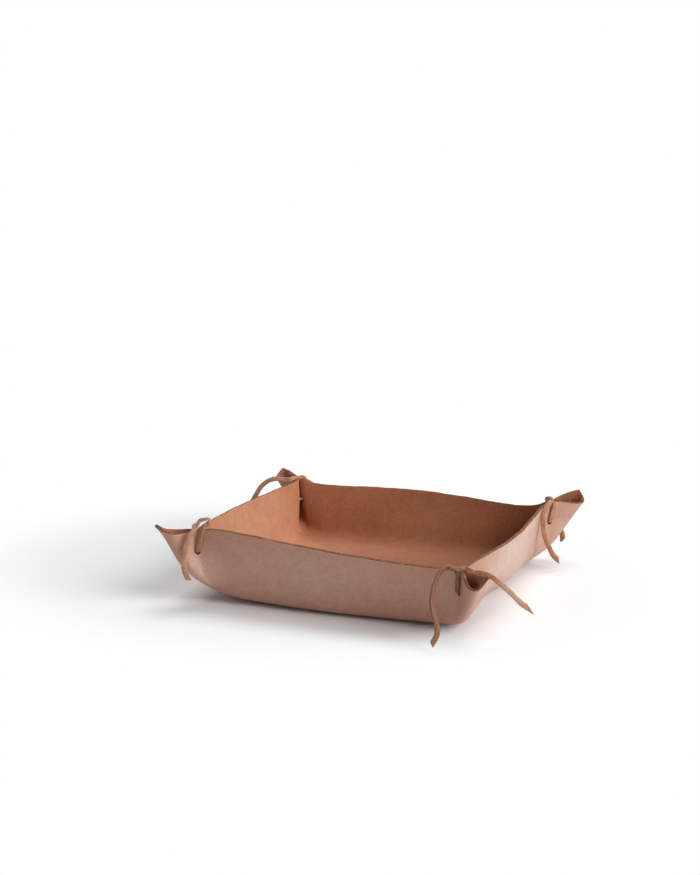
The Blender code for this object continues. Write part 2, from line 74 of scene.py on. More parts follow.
RING_SHARES = (0.0, 0.36, 0.68, 1.0)
WALL_SHARES = {
    "front": {"lean": (-0.03, 0.21, 0.28), "height": (1.33, 1.09, 1.03)},
    "right": {"lean": (0.19, 0.34, 0.07), "height": (1.18, 1.02, 1.00)},
    "back": {"lean": (0.31, 0.35, 0.15), "height": (0.70, 1.00, 0.86)},
    "left": {"lean": (0.22, 0.33, 0.26), "height": (0.93, 1.08, 1.15)},
}
BOW_SHARE = 0.01
CORNER_TERMS = ("tie", "tip", "rim_x", "rim_y", "lift", "round", "keel", "swell", "sway")
CORNER_SHARES = by_corner(*(dict(zip(CORNER_TERMS, row)) for row in (
    ((0.20, -0.10, 1.17), (0.59, 0.25, 0.06), (0.23, 0.40, -0.04), (0.50, 0.06, -0.03),
     0.14, -0.21, 0.12, -0.02, 0.02),
    ((0.08, 0.31, 1.07), (0.53, 0.37, 0.05), (0.27, 0.45, -0.25), (0.24, -0.04, -0.04),
     0.08, -0.08, 0.08, 0.00, -0.01),
    ((0.25, -0.02, 1.06), (0.34, 0.51, 0.11), (0.14, 0.36, 0.08), (0.58, 0.37, -0.13),
     0.10, 0.08, 0.24, 0.04, 0.03),
    ((0.14, 0.09, 1.03), (0.47, 0.44, 0.05), (0.34, 0.40, 0.04), (0.66, 0.26, -0.17),
     0.01, -0.01, 0.11, -0.01, 0.11),
)))
CORNER_SIGNS = by_corner((-1, -1, 1), (1, -1, 1), (1, 1, 1), (-1, 1, 1))
CORNER_WALLS = by_corner(
    (("front", 0), ("left", 2)), (("front", 2), ("right", 0)), (("back", 0), ("right", 2)),
    (("back", 2), ("left", 0)),
)
ROUND_ORDER = (
    ("front_left", "front", False),
    ("front_right", "right", True),
    ("back_right", "back", False),
    ("back_left", "left", True),
)
WALL_FACING = {"front": (1, -1), "right": (0, 1), "back": (1, 1), "left": (0, -1)}
# For each of an ear's rays: its step in on the floor, how far it stands to its side and outwards
# at the fold, and how far to its side on the low and on the high ring
EAR_RAY_SHARES = {
    "tie_back": (0.09, 0.24, -0.03, 0.07, 0.01),
    "tie_front": (0.05, 0.16, 0.0, 0.07, 0.01),
    "rim": (0.02, 0.08, 0.03, 0.08, 0.03),
    "tip": (0.0, 0.0, 0.05, 0.0, 0.0),
}
WALL_RAY_SHARES = {
    "floor_step": 0.28, "rim_step": 1.21, "to_middle": 0.2, "belly": 0.3, "lift": 0.56,
}
HIGH_SWELL_SHARE = 0.7
PINCH_PULL_SHARE = 0.17
# How far each knot's windings reach to each side, and how many half turns its strands make
KNOT_HALVES = by_corner(3.4 * MM, 3.3 * MM, 2.3 * MM, 3.4 * MM)
KNOT_HALF_TURNS = by_corner(2.75, 2.75, 1.75, 2.75)
# Where each knot sits over its tie: out along the ear, across the pinch and up
KNOT_PLACES = by_corner(
    (0.2 * MM, 0, -0.6 * MM), (-0.6 * MM, 0.9 * MM, -1.1 * MM), (-0.2 * MM, 1.2 * MM, -1.2 * MM),
    (0, 0, -1.8 * MM),
)
KNOT_WINDING = by_corner(1, 1, -1, 1)
LACE_LINE_SHARES = by_corner(
    {"plus": 0.0, "minus": 0.055}, {"plus": 0.0, "minus": 0.025}, {"plus": 0.055, "minus": 0.0},
    {"plus": 0.015, "minus": 0.015},
)
# Points of each tail from the knot to its end, in the corner's own axes, and its flat's way
TAIL_SHARES = by_corner(
    {
        "plus": (
            (0.02, 0.17, 0.04), (0.07, 0.23, -0.02), (0.11, 0.26, -0.11), (0.15, 0.28, -0.22),
            (0.18, 0.30, -0.38), (0.18, 0.32, -0.50), (0.15, 0.36, -0.62), (0.09, 0.40, -0.74),
        ),
        "plus_faces": ((0.05, 0.97, 0.22),),
        "minus": (
            (0.02, -0.17, -0.02), (0.07, -0.25, -0.09), (0.11, -0.30, -0.20), (0.12, -0.34, -0.33),
            (0.09, -0.37, -0.47), (0.01, -0.39, -0.66),
        ),
        "minus_faces": ((0.92, -0.39, 0.00),),
    },
    {
        "plus": (
            (-0.08, 0.20, 0.08), (-0.10, 0.29, 0.06), (-0.08, 0.40, -0.02), (-0.02, 0.53, -0.17),
            (0.06, 0.62, -0.36), (0.14, 0.64, -0.54), (0.23, 0.65, -0.68), (0.26, 0.68, -0.82),
            (0.20, 0.74, -0.99),
        ),
        "plus_faces": ((0.57, -0.82, 0.00), (0.80, 0.56, 0.22)),
        "minus": (
            (-0.01, -0.14, -0.02), (0.02, -0.22, -0.06), (0.09, -0.30, -0.06), (0.22, -0.38, -0.10),
            (0.36, -0.46, -0.20), (0.48, -0.56, -0.33), (0.60, -0.67, -0.48), (0.775, -0.80, -0.59),
        ),
        "minus_faces": ((0.80, 0.56, 0.22),),
    },
    {
        "plus": (
            (0.05, 0.17, 0.00), (0.12, 0.25, -0.06), (0.22, 0.30, -0.18), (0.34, 0.30, -0.36),
            (0.42, 0.27, -0.55), (0.45, 0.22, -0.71), (0.43, 0.18, -0.86),
        ),
        "plus_faces": ((0.55, 0.83, 0.00), (0.83, 0.55, 0.00)),
        "minus": (
            (-0.17, -0.13, 0.02), (-0.28, -0.16, -0.04), (-0.36, -0.19, -0.16),
            (-0.39, -0.23, -0.33), (-0.39, -0.28, -0.51), (-0.36, -0.35, -0.67),
            (-0.315, -0.425, -0.82), (-0.225, -0.51, -0.92),
        ),
        "minus_faces": ((-0.57, -0.79, 0.22),),
    },
    {
        "plus": (
            (0.03, 0.15, -0.05), (0.03, 0.22, -0.10), (0.03, 0.29, -0.15), (0.03, 0.36, -0.22),
            (0.02, 0.42, -0.33), (-0.02, 0.44, -0.48), (-0.06, 0.43, -0.62), (-0.10, 0.41, -0.74),
        ),
        "plus_faces": ((0.68, 0.73, 0.00),),
        "minus": (
            (-0.03, -0.18, 0.01), (0.02, -0.30, 0.01), (0.06, -0.42, 0.03), (0.11, -0.55, -0.01),
            (0.16, -0.67, -0.12), (0.17, -0.77, -0.27), (0.18, -0.86, -0.41), (0.20, -0.92, -0.54),
        ),
        "minus_faces": ((-0.87, -0.44, 0.22),),
    },
)

# A strand that stands off in a slack loop between the wall and the knot, placed as the tails are
SLACK_SHARES = {
    ("front_left", 1): (
        (-0.13, 0.10, 0.07), (-0.19, 0.11, 0.12), (-0.24, 0.11, 0.18), (-0.21, 0.10, 0.21),
        (-0.14, 0.08, 0.19), (-0.07, 0.06, 0.16),
    ),
}
SLACK_FACES = {
    ("front_left", 1): (
        (0.5, 0.8, -0.3), (0.5, 0.5, -0.7), (-1, 0.2, 0.1), (-0.5, 0.1, 0.85), (0.2, 0.2, 0.95),
        (0.6, 0.4, 0.7),
    ),
}
# How far a strand slants along the wall between its hole and the rim
STRAND_SLANTS = {("front_left", 1): -0.12}

# Presses of the hand into the hide: the middle, the reach and the shift of each
TUCKS = {
    "right_fold": ((0.086, -0.022, 0.004), (0.020, 0.026, 0.014), (-4.0 * MM, 0, 1.3 * MM)),
    "front_right_rim": ((0.0905, -0.1035, 0.037), (0.005, 0.006, 0.006), (0, 0, -2.0 * MM)),
    "front_right_tip": ((0.1015, -0.1105, 0.0375), (0.005, 0.005, 0.006), (0, 0, -1.4 * MM)),
    "front_left_foot": (
        (-0.080, -0.086, 0.006), (0.018, 0.018, 0.010), (0.8 * MM, 0.3 * MM, 0.6 * MM),
    ),
}

# How each tail ends: slant is how far the cut runs along the lace from one edge to the
# other, point how far both edges are trimmed back, and flare how much wider it ends
TAIL_ENDS = by_corner(
    {"plus": (2.0 * MM, 0, 0), "minus": (1.0 * MM, 1.0 * MM, 0)},
    {"plus": (2.5 * MM, 0, 0), "minus": (-7.0 * MM, 0, 0.12)},
    {"plus": (3.0 * MM, 1.0 * MM, 0.1), "minus": (3.5 * MM, 0, 0.1)},
    {"plus": (2.0 * MM, 0, 0), "minus": (2.0 * MM, 0, 0)},
)
FLARE_REACH = 9 * MM
# How far a strip is drawn from its own size (0) to the knot's (1), in the hole and at its bend
HOLE_DRAWN = (1, 1, 0.7)
# A strip's width wavers by shares of itself: each share, its run along the strip and its start
STRIP_WAVERS = ((0.035, 3.1 * MM, 0), (0.025, 1.3 * MM, 1))
# The strip's and the cut edge's outlines: a circle's cosine and sine raised to these
STRIP_POWER = 0.5
EDGE_POWER = 0.6
EDGE_CROWN = 0.3 * MM

# How the hide waves: each wave by how many go round the tray and how many up WAVE_RUN
SLOW_WAVES = ((6, 0.4), (9, 0.7), (14, 0.9), (22, 1.4))
WAVE_RUN = 60 * MM
WAVE_HEIGHT = 0.2 * MM
# They grow from the floor to full at this height, and along a wall from this many rays away
# from a sheet's corner over this many more
WAVE_FOOT = 8 * MM
WAVE_START = 2.6
WAVE_GROWTH = 1.6
# How the rim was cut: its slow waver, and nicks where the short waves pass a level
WAVER_WAVES = ((24, 0), (41, 0), (67, 0))
WAVER_HEIGHT = 0.10 * MM
NICK_WAVES = ((160, 0), (270, 0), (410, 0))
NICK_LEVEL = 0.9
NICK_LIMIT = 1.2
NICK_DEPTH = 0.3 * MM
CUT_REACH = 2.2 * MM

HALF_BASE = BASE_WIDTH / 2
HALF_FLOOR = HALF_BASE - FLOOR_INSET
HALF_SHEET = HALF_BASE + WALL_HEIGHT
HALF_PINCH = (2 * LEATHER_THICKNESS + PINCH_GAP) / 2
CAGE_PINCH = HALF_PINCH * (1 - PINCH_PULL_SHARE)
HOLE_DIAMETER = math.hypot(LACE_WIDTH, LACE_THICKNESS) + 2 * HOLE_CLEARANCE
HOLE_REACH = 2 * HALF_PINCH + LACE_THICKNESS / 2
HOLE_MOUTH = HALF_PINCH + LACE_THICKNESS
PROBE_REACH = 10 * HALF_PINCH
KNOT_CLEARANCE = 0.1 * MM
KNOT_RISE = KNOT_RADIUS + KNOT_THICKNESS / 2 + KNOT_CLEARANCE
FREE_STEP = 2.8 * MM
SPAN_STEPS = 16

# ---- how finely the surfaces are worked out ----
# Columns from each ray of the cage to the next: closely at the corners, where rays lie close
CORNER_COLUMNS = 10
WALL_COLUMNS = 42
RING_ROWS = 10
FLOOR_ROWS = 14
# The floor's rows start this share of a quarter turn from its middle, and where the wall starts
# to rise this many rows are softened this many times
FLOOR_START = 0.06
SOFT_ROWS = 4
SOFT_ROUNDS = 12
EDGE_POINTS = 5
PUNCH_SIDES = 28
LACE_STEP = 0.4 * MM
LACE_POINTS = 20
MIN_TAIL = 31 * MM
# The sheet's own v is its way below the rim in tenths of a metre, and the rim is tanned this far
RIM_SCALE = 10
RIM_BAND = 1.2 * MM

# ---- the photograph's camera: degrees round and up, metres off, and its shift right and up ----
CAMERA_ROUND = 20.32
CAMERA_UP = 12.65
CAMERA_DISTANCE = 1.3
CAMERA_SHIFT = (-0.01738, 0.09146)
CAMERA_LENS = 83.57
SENSOR_WIDTH = 36


# ==== camera: the photograph's place, in the frame of the part ====

def direction(azimuth, elevation):
    """D = (sin a cos e, cos a cos e, sin e): a is 0 at the back and a quarter turn at the right."""
    return Vector((
        math.sin(azimuth) * math.cos(elevation), math.cos(azimuth) * math.cos(elevation),
        math.sin(elevation),
    ))


def place_camera():
    """A plain camera, round to the right from the front and a little above the rim.

    n points from the tray to the camera, r to the picture's right and u up it.
    """
    azimuth, elevation = math.radians(CAMERA_ROUND), math.radians(CAMERA_UP)
    n = direction(math.pi - azimuth, elevation)
    r = Vector((math.cos(azimuth), math.sin(azimuth), 0))
    u = n.cross(r)
    data = bpy.data.cameras.new("camera")
    data.sensor_width = SENSOR_WIDTH
    data.lens = CAMERA_LENS
    data.clip_start = 0.05
    data.clip_end = 200
    camera = bpy.data.objects.new("camera", data)
    place = n * CAMERA_DISTANCE + r * CAMERA_SHIFT[0] + u * CAMERA_SHIFT[1]
    camera.matrix_world = Matrix.Translation(place) @ Matrix((r, u, n)).transposed().to_4x4()
    bpy.context.scene.collection.objects.link(camera)
    bpy.context.scene.camera = camera


# ==== the cage that the sheet is drawn over ====

def corner_frame(name):
    """The corner's foot and tie, and out along the ear and across the pinch, in its own axes."""
    shares = CORNER_SHARES[name]
    base_corner = np.array([HALF_BASE, HALF_BASE, 0])
    foot = base_corner + np.array([0, 0, WALL_HEIGHT * shares["lift"]])
    tie = base_corner + WALL_HEIGHT * np.array(shares["tie"])
    ear = np.array([*shares["tip"][:2], 0])
    ear = ear / np.linalg.norm(ear)
    return foot, tie, ear, np.array([-ear[1], ear[0], 0])


def wall_ray(name, along_x):
    """The cage points of the wall next to a corner, from the floor ring to the rim."""
    shares = CORNER_SHARES[name]
    wall, end = CORNER_WALLS[name][0 if along_x else 1]
    lean, height = WALL_SHARES[wall]["lean"], WALL_SHARES[wall]["height"]
    to_middle = WALL_RAY_SHARES["to_middle"]
    rim_lean = WALL_HEIGHT * (lean[end] + (lean[1] - lean[end]) * to_middle)
    rim_height = WALL_HEIGHT * (height[end] + (height[1] - height[end]) * to_middle)
    lift = WALL_HEIGHT * shares["lift"] * WALL_RAY_SHARES["lift"]
    floor_along = HALF_FLOOR - WALL_HEIGHT * WALL_RAY_SHARES["floor_step"]
    rim_along = HALF_SHEET - WALL_HEIGHT * WALL_RAY_SHARES["rim_step"]
    belly = WALL_HEIGHT * BOW_SHARE * WALL_RAY_SHARES["belly"]
    points = [(floor_along, HALF_FLOOR, 0)]
    for ring in RING_SHARES:
        risen = (FLOOR_INSET + WALL_HEIGHT * ring) / (FLOOR_INSET + WALL_HEIGHT)
        along = floor_along + (rim_along - floor_along) * risen
        out = HALF_BASE + rim_lean * ring + belly
        points.append((along, out, lift * (1 - ring) + rim_height * ring))
    points = np.array(points)
    return points if along_x else points[:, [1, 0, 2]]


def ear_ray(name, kind, side):
    """The cage points of one of an ear's rays.

    side is 1 on the wall along X, -1 on the wall along Y and 0 at the fold.
    """
    shares = CORNER_SHARES[name]
    floor_step, fold_side, fold_out, low_side, high_side = EAR_RAY_SHARES[kind]
    foot, tie, ear, across = corner_frame(name)
    bisector = np.array([-1, 1, 0]) / math.sqrt(2)
    outward = np.array([1, 1, 0]) / math.sqrt(2)
    mixed = (bisector + across) / np.linalg.norm(bisector + across)
    half_length = PINCH_LENGTH / 2
    rims = {
        "tie_back": tie + across * side * CAGE_PINCH - ear * half_length,
        "tie_front": tie + across * side * CAGE_PINCH + ear * half_length,
        "rim": tie + WALL_HEIGHT * np.array(shares["rim_x" if side > 0 else "rim_y"]),
        "tip": tie + WALL_HEIGHT * np.array(shares["tip"]),
    }
    rim = rims[kind]
    keel = WALL_HEIGHT * shares["keel"] if kind == "tip" else 0
    step = WALL_HEIGHT * floor_step
    floor = [HALF_FLOOR - (step if side > 0 else 0), HALF_FLOOR - (step if side < 0 else 0), 0]
    fold = foot + bisector * side * WALL_HEIGHT * fold_side
    fold = fold + outward * WALL_HEIGHT * (fold_out + shares["round"])
    low = foot + (rim - foot) * RING_SHARES[1]
    low = low + mixed * side * WALL_HEIGHT * low_side + outward * keel
    high = foot + (rim - foot) * RING_SHARES[2]
    high = high + across * side * WALL_HEIGHT * high_side + outward * keel / 2
    if kind.startswith("tie"):
        low = low + across * side * CAGE_PINCH * (1 - RING_SHARES[1])
        high = high + across * side * CAGE_PINCH * (1 - RING_SHARES[2])
    else:
        swell = across * WALL_HEIGHT * (side * shares["swell"] + shares["sway"])
        low = low + swell
        high = high + swell * HIGH_SWELL_SHARE
    return np.array([floor, fold, low, high, rim])


def corner_rays(name):
    """A corner's rays from its wall along X, round the ear, to its wall along Y."""
    kinds = ("tie_back", "tie_front", "rim")
    first = [ear_ray(name, kind, 1) for kind in kinds]
    second = [ear_ray(name, kind, -1) for kind in reversed(kinds)]
    tip = ear_ray(name, "tip", 0)
    rays = [wall_ray(name, True), *first, tip, *second, wall_ray(name, False)]
    return [ray * CORNER_SIGNS[name] for ray in rays]


def middle_ray(wall):
    """The cage points of the middle of a wall."""
    axis, sign = WALL_FACING[wall]
    lean, height = WALL_SHARES[wall]["lean"][1], WALL_SHARES[wall]["height"][1]
    points = np.zeros((len(RING_SHARES) + 1, 3))
    points[0, axis] = sign * HALF_FLOOR
    for row, ring in enumerate(RING_SHARES, start=1):
        points[row, axis] = sign * (HALF_BASE + WALL_HEIGHT * (lean * ring + BOW_SHARE))
        points[row, 2] = WALL_HEIGHT * height * ring
    return points


def sheet_cage():
    """All rays going round anticlockwise, those at the sheet's corners, and each span's columns."""
    rays, tips, columns = [], [], []
    for name, wall, forward in ROUND_ORDER:
        corner = corner_rays(name)
        tips.append(len(rays) + len(corner) // 2)
        rays += corner if forward else corner[::-1]
        rays.append(middle_ray(wall))
        columns += [CORNER_COLUMNS] * (len(corner) - 1) + [WALL_COLUMNS] * 2
    return np.array(rays), tips, columns


# ==== the sheet's fine surface ====

def spline_weights(t):
    """A uniform cubic B-spline's four weights at t from 0 to 1 between its middle two points."""
    return np.stack([
        (1 - t) ** 3, 3 * t ** 3 - 6 * t ** 2 + 4, -3 * t ** 3 + 3 * t ** 2 + 3 * t + 1, t ** 3,
    ], -1) / 6


def grain_face(turns, rises, cage, tips):
    """P(u, v) = sum of B_i(u) B_j(v) Q_ij: the cubic B-spline surface of the cage Q.

    It is closed round u and runs to the cage's first and last rings in v. At the sheet's
    four corners the rim is drawn with a sharp point, which fades away below it: there the
    weights see the rays beyond the corner mirrored through it.
    """
    count, rows = cage.shape[:2]
    before, after = 2 * cage[:, :1] - cage[:, 1:2], 2 * cage[:, -1:] - cage[:, -2:-1]
    ends = np.concatenate([before, cage, after], axis=1)
    row = np.minimum(rises.astype(int), rows - 2)
    spans = ends[:, row[:, None] + np.arange(4)]
    risen = np.einsum("vk,nvkc->nvc", spline_weights(rises - row), spans)
    ray = turns.astype(int)
    near = risen[(ray[:, None] + np.arange(-1, 3)) % count]
    weights = spline_weights(turns - ray)
    smooth = np.einsum("uk,ukvc->uvc", weights, near)
    pointed = near.copy()
    first, last = np.isin(ray % count, tips), np.isin((ray + 1) % count, tips)
    pointed[first, 0] = 2 * pointed[first, 1] - pointed[first, 2]
    pointed[last, 3] = 2 * pointed[last, 2] - pointed[last, 1]
    sharp = np.clip(rises - (rows - 2), 0, 1) ** 6
    return smooth + (np.einsum("uk,ukvc->uvc", weights, pointed) - smooth) * sharp[None, :, None]


def ripple(turn, rise, waves, seed):
    """H(t, r) = sum of sin(2 pi (n t + m r + p)) / sqrt(count): random plane waves, closed round t.

    t is the turn and r the rise. Each wave's n is drawn up to a third to either side of
    its own, m up or down and the start p anywhere.
    """
    random = np.random.default_rng(seed)
    total = np.zeros(np.broadcast(turn, rise).shape)
    for around, up in waves:
        cycles = around + random.integers(-around // 3, around // 3 + 1)
        slope = up * rise * random.choice((-1, 1))
        total += np.sin(2 * np.pi * (cycles * turn + slope + random.random()))
    return total / math.sqrt(len(waves))


def unit(vectors):
    """Each vector divided by its own length."""
    return vectors / np.maximum(np.linalg.norm(vectors, axis=-1, keepdims=True), 1e-12)


def face_normals(grid):
    """The grid's outward normals: its slope round the tray crossed with its slope up the wall."""
    around = np.roll(grid, -1, axis=0) - np.roll(grid, 1, axis=0)
    return unit(np.cross(around, np.gradient(grid, axis=1)))


def sheet_grids():
    """The grain and flesh faces as grids, with each point's share round and way below the rim."""
    cage, tips, columns = sheet_cage()
    turns = np.concatenate([i + np.arange(n) / n for i, n in enumerate(columns)])
    rises = np.linspace(0, len(RING_SHARES), len(RING_SHARES) * RING_ROWS + 1)
    wall = grain_face(turns, rises, cage, tips)
    # The floor: the floor ring drawn in towards the middle, closest rows next to the ring
    shares = np.sin(np.linspace(FLOOR_START, 1, FLOOR_ROWS + 1)[:-1] * math.pi / 2)
    floor = wall[:, :1] * shares[None, :, None]
    grid = np.concatenate([floor, wall], axis=1)
    # Where the wall starts to rise, each row is a mean of its neighbours, so no line shows
    soft = np.exp(-((np.arange(grid.shape[1]) - FLOOR_ROWS) / SOFT_ROWS) ** 2)[None, 1:-1, None]
    for _ in range(SOFT_ROUNDS):
        grid[:, 1:-1] += soft * ((grid[:, :-2] + grid[:, 2:]) / 2 - grid[:, 1:-1])
    steps = np.linalg.norm(np.diff(grid, axis=1), axis=2)
    below = np.cumsum(steps[:, ::-1], axis=1)[:, ::-1]
    below = np.concatenate([below, np.zeros((len(grid), 1))], axis=1)
    length = np.linalg.norm(np.roll(grid[:, -1], -1, axis=0) - grid[:, -1], axis=1)
    round_share = (np.cumsum(length) - length) / length.sum()
    round_share = np.repeat(round_share[:, None], grid.shape[1], axis=1)
    # Hide is never flat: long soft waves, which die out at the floor, the pinch and the ears
    count = len(cage)
    from_tips = [np.abs((turns - tip + count / 2) % count - count / 2) for tip in tips]
    free = np.clip((np.min(from_tips, axis=0) - WAVE_START) / WAVE_GROWTH, 0, 1)[:, None]
    lifted = np.clip(grid[..., 2] / WAVE_FOOT, 0, 1)
    waves = ripple(round_share, below / WAVE_RUN, SLOW_WAVES, seed=3)
    grid = grid + face_normals(grid) * (waves * free * lifted * WAVE_HEIGHT)[..., None]
    # A press at a place C with reach R moves each point P by its shift times exp(-|(P - C) / R|^2)
    for middle, reach, shift in TUCKS.values():
        near = np.exp(-(((grid - np.array(middle)) / np.array(reach)) ** 2).sum(axis=-1))
        grid = grid + near[..., None] * np.array(shift)
    # The rim was cut by hand: slow waver, and short nicks in its last millimetres
    up = unit(grid[:, -1] - grid[:, -3])
    waver = ripple(round_share[:, -1], 0, WAVER_WAVES, seed=5) * WAVER_HEIGHT
    nicks = ripple(round_share[:, -1], 0, NICK_WAVES, seed=7)
    cut = waver - np.clip(nicks - NICK_LEVEL, 0, NICK_LIMIT) * NICK_DEPTH
    fall = np.exp(-(below / CUT_REACH) ** 2)
    grid = grid + up[:, None] * (cut[:, None] * fall)[..., None]
    return grid, grid - face_normals(grid) * LEATHER_THICKNESS, round_share, below


def powered(angles, power):
    """cos(a)^p and sin(a)^p, each with its own sign kept."""
    return [np.sign(part) * np.abs(part) ** power for part in (np.cos(angles), np.sin(angles))]


def cut_edge(outer, inner):
    """The raw edge between the two faces' last rows: E(s) = M + cos(s)^p N + b sin(s)^p U.

    M is the edge's middle, N half the way across its thickness and U out of the wall. With
    p = EDGE_POWER the edge is nearly square with its corners worn round, b = EDGE_CROWN high.
    """
    middle = (outer[:, -1] + inner[:, -1]) / 2
    across = (outer[:, -1] - inner[:, -1]) / 2
    out = unit(outer[:, -1] - outer[:, -2])
    angles = np.linspace(0, math.pi, EDGE_POINTS + 2)[1:-1]
    wide, high = powered(angles, EDGE_POWER)
    return (middle[:, None] + across[:, None] * wide[None, :, None]
            + out[:, None] * (high * EDGE_CROWN)[None, :, None])


def quads(first, second):
    """The faces between two rows of vertex numbers that close round."""
    return np.stack([first, np.roll(first, -1), np.roll(second, -1), second], axis=-1)


def fan(middle, row, turned):
    """The three-sided faces between a middle point and a row that closes round."""
    pairs = zip(row.tolist(), np.roll(row, -1).tolist())
    return [(middle, b, a) if turned else (middle, a, b) for a, b in pairs]


def new_mesh_object(name, points, faces, kinds, uv, materials):
    """A mesh from whole arrays: points, faces, each face's material and each point's u and v."""
    mesh = bpy.data.meshes.new(name)
    mesh.from_pydata(points.tolist(), [], faces)
    mesh.update()
    for material in materials:
        mesh.materials.append(material)
    mesh.polygons.foreach_set("material_index", np.asarray(kinds, dtype=np.int32))
    corner = np.empty(len(mesh.loops), dtype=np.int32)
    mesh.loops.foreach_get("vertex_index", corner)
    layer = mesh.uv_layers.new(name="along")
    layer.data.foreach_set("uv", np.asarray(uv, dtype=np.float32)[corner].ravel())
    mesh.shade_smooth()
    obj = bpy.data.objects.new(name, mesh)
    bpy.context.scene.collection.objects.link(obj)
    return obj


def build_sheet(materials):
    """Both faces, the cut edge between them and the floor's two middle points: one closed mesh."""
    outer, inner, turn, below = sheet_grids()
    inner[:, :FLOOR_ROWS // 2, 2] = LEATHER_THICKNESS
    edge = cut_edge(outer, inner)
    columns, rows = outer.shape[:2]
    poles = np.array([[0, 0, outer[0, 0, 2]], [0, 0, LEATHER_THICKNESS]])
    points = np.concatenate([*(grid.reshape(-1, 3) for grid in (outer, inner, edge)), poles])
    size = columns * rows
    grain = np.arange(size).reshape(columns, rows)
    flesh = grain + size
    raw = 2 * size + np.arange(columns * EDGE_POINTS).reshape(columns, EDGE_POINTS)
    faces, kinds = [], []
    for row in range(rows - 1):
        faces += quads(grain[:, row], grain[:, row + 1]).tolist()
        kinds += [0] * columns
        faces += quads(flesh[:, row + 1], flesh[:, row]).tolist()
        kinds += [1] * columns
    lines = [grain[:, -1], *raw.T, flesh[:, -1]]
    for first, second in zip(lines[:-1], lines[1:]):
        faces += quads(first, second).tolist()
        kinds += [2] * columns
    faces += fan(len(points) - 2, grain[:, 0], True) + fan(len(points) - 1, flesh[:, 0], False)
    kinds += [0] * columns + [1] * columns
    face_uv = np.stack([turn, below * RIM_SCALE], axis=-1).reshape(-1, 2)
    edge_turn = np.repeat(turn[:, -1:], EDGE_POINTS, axis=1)
    edge_uv = np.stack([edge_turn, np.zeros((columns, EDGE_POINTS))], axis=-1)
    uv = np.concatenate([face_uv, face_uv, edge_uv.reshape(-1, 2), [[0, 1], [0, 1]]])
    return new_mesh_object("tray_leather", points, faces, kinds, uv, materials)


def punch_holes(sheet):
    """One straight punch through both pinched walls at each corner; holes are raw edge inside."""
    cutters = []
    for name in CORNERS:
        plus, minus = hole_mouths(name)
        axis = Vector(plus - minus)
        bpy.ops.mesh.primitive_cylinder_add(
            vertices=PUNCH_SIDES, radius=HOLE_DIAMETER / 2, depth=2 * HOLE_REACH,
            location=(plus + minus) / 2, rotation=axis.to_track_quat("Z", "Y").to_euler(),
        )
        punch = bpy.context.active_object
        for material in sheet.data.materials:
            punch.data.materials.append(material)
        kinds = np.full(len(punch.data.polygons), 2, dtype=np.int32)
        punch.data.polygons.foreach_set("material_index", kinds)
        cut = sheet.modifiers.new("hole", "BOOLEAN")
        cut.object = punch
        cut.operation = "DIFFERENCE"
        cut.solver = "EXACT"
        cut.material_mode = "INDEX"
        cutters.append(punch)
    graph = bpy.context.evaluated_depsgraph_get()
    mesh = bpy.data.meshes.new_from_object(sheet.evaluated_get(graph))
    sheet.modifiers.clear()
    old = sheet.data
    sheet.data = mesh
    bpy.data.meshes.remove(old)
    mesh.name = "tray_leather"
    for cutter in cutters:
        bpy.data.objects.remove(cutter, do_unlink=True)


# ==== the laces' route, laid as that of the solids ====

def tie_axes(name):
    """Out along the ear, across the pinch towards the wall along X, and up, in the world."""
    ear, across = corner_frame(name)[2:]
    return ear * CORNER_SIGNS[name], across * CORNER_SIGNS[name], np.array([0, 0, 1])


def tie_point(name, drop):
    """The point of the pinch that lies this far below the tied rim, in the world."""
    foot, tie = corner_frame(name)[:2]
    fall = (foot - tie) / (tie - foot)[2]
    return (tie + fall * drop) * CORNER_SIGNS[name]


def lace_line(name, side, drop):
    """The point between the pinched walls that a lace on this side runs over, this far down."""
    out = LACE_LINE_SHARES[name]["plus" if side > 0 else "minus"]
    out += STRAND_SLANTS.get((name, side), 0) * max(0, 1 - drop / HOLE_DROPS[name])
    return tie_point(name, drop) + tie_axes(name)[0] * WALL_HEIGHT * out


def hole_mouths(name):
    """Where a lace turns into and out of the straight line through a corner's two holes."""
    across = tie_axes(name)[1]
    drop = HOLE_DROPS[name]
    return [lace_line(name, side, drop) + across * side * HOLE_MOUTH for side in (1, -1)]


def rim_top(name, tree):
    """How high the two pinched walls stand at the tie."""
    across, up = tie_axes(name)[1:]
    tops = []
    for side in (-1, 1):
        start = tie_point(name, 0) + across * side * HALF_PINCH / 2 + up * PROBE_REACH
        tops.append(tree.ray_cast(Vector(start), Vector(-up))[0].z)
    return max(tops)


def strand_seat(name, side, drop, tree):
    """The middle of a lace on a wall's outer face this far below the tie, and its flat's direction.

    The wall is felt under both edges of the lace and under its middle, and the lace lies
    along the line between its edges, clear of the highest of the three.
    """
    ear, across = tie_axes(name)[:2]
    across = across * side
    hits = []
    for edge in (-1, 0, 1):
        start = lace_line(name, side, drop) + across * PROBE_REACH + ear * edge * LACE_WIDTH / 2
        hits.append(np.array(tree.ray_cast(Vector(start), Vector(-across))[0]))
    chord = (hits[2] - hits[0]) / np.linalg.norm(hits[2] - hits[0])
    face = across - (across @ chord) * chord
    face /= np.linalg.norm(face)
    rise = max(hit @ face for hit in hits) - hits[1] @ face
    return hits[1] + face * (rise + LACE_THICKNESS / 2 + SEAT_GAP), face


